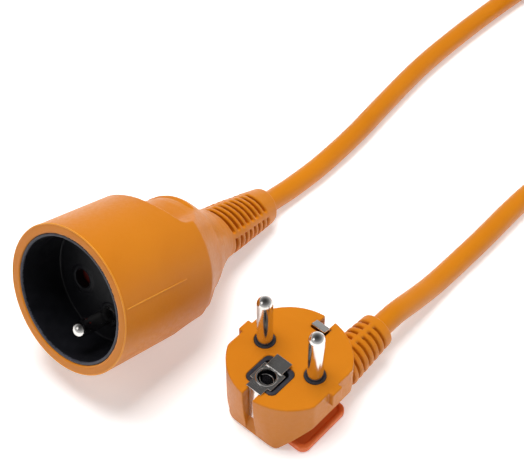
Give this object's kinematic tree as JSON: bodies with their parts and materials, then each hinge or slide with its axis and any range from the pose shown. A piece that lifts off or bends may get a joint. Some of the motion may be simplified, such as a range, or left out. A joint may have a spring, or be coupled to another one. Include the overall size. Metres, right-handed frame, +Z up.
{
  "type": "extension cord",
  "caption": "Round-cable extension cord with an earthed socket connector, whose recess holds a fixed earth pin, and a right-angle earthed plug with a fold-out pull handle.",
  "frame": {"origin": "on the floor under the middle of the socket connector's own box", "axes": "+X from the socket's mouth towards its cable, along the floor; +Z up, along the plug's pins; the socket's axis lies in the XZ plane, mouth tipped up 19 degrees"},
  "size_m": [0.3497, 0.1316, 0.056],
  "materials": {
    "orange_moulding": "satin soft PVC, faint moulding marks",
    "orange_handle": "satin nylon",
    "orange_sheath": "satin flexible PVC",
    "black_insert": "semi-gloss",
    "grey_insulator": "matte",
    "grey_insulator_plug": "matte",
    "natural_nylon": "matte",
    "contact_brass": "bright",
    "nickel_plate": "bright nickel",
    "shutter_red": "satin",
    "spring_wire": "drawn",
    "core_brown": "satin",
    "core_blue": "satin",
    "core_green_yellow": "satin",
    "black_strap": "woven"
  },
  "bodies": {
    "cord_set": {"socket_body": "orange_moulding", "insert_cup": "black_insert", "contact_carrier": "grey_insulator", "rear_premould": "natural_nylon", "line_sleeve": "contact_brass", "neutral_sleeve": "contact_brass", "earth_pin": "nickel_plate", "shutter_spring": "spring_wire", "socket_core_brown": "core_brown", "socket_core_blue": "core_blue", "socket_core_earth": "core_green_yellow", "cord_lead_socket": "orange_sheath", "cord_coil": "orange_sheath", "cord_lead_plug": "orange_sheath", "coil_tie": "black_strap", "plug_body": "orange_moulding", "pin_bridge": "grey_insulator_plug", "line_pin": "nickel_plate", "neutral_pin": "nickel_plate", "earth_strip": "nickel_plate", "earth_contact": "nickel_plate", "plug_core_brown": "core_brown", "plug_core_blue": "core_blue", "plug_core_earth": "core_green_yellow", "handle_pin": "spring_wire"},
    "shutter": {"shutter": "shutter_red"},
    "handle": {"pull_handle": "orange_handle"}
  },
  "joints": [
    {"name": "shutter_turn", "type": "hinge", "parent": "cord_set", "child": "shutter", "pos_m": [-0.02101, 0, 0.02833], "axis": [0.9455, 0, -0.3256], "range_deg": [0, 40], "stiffness_Nm_per_rad": 0.002, "springref_deg": -20.05},
    {"name": "handle_fold", "type": "hinge", "parent": "cord_set", "child": "handle", "pos_m": [-0.00676, -0.04303, 0.002], "axis": [1, 0, 0], "range_deg": [0, 95]}
  ]
}
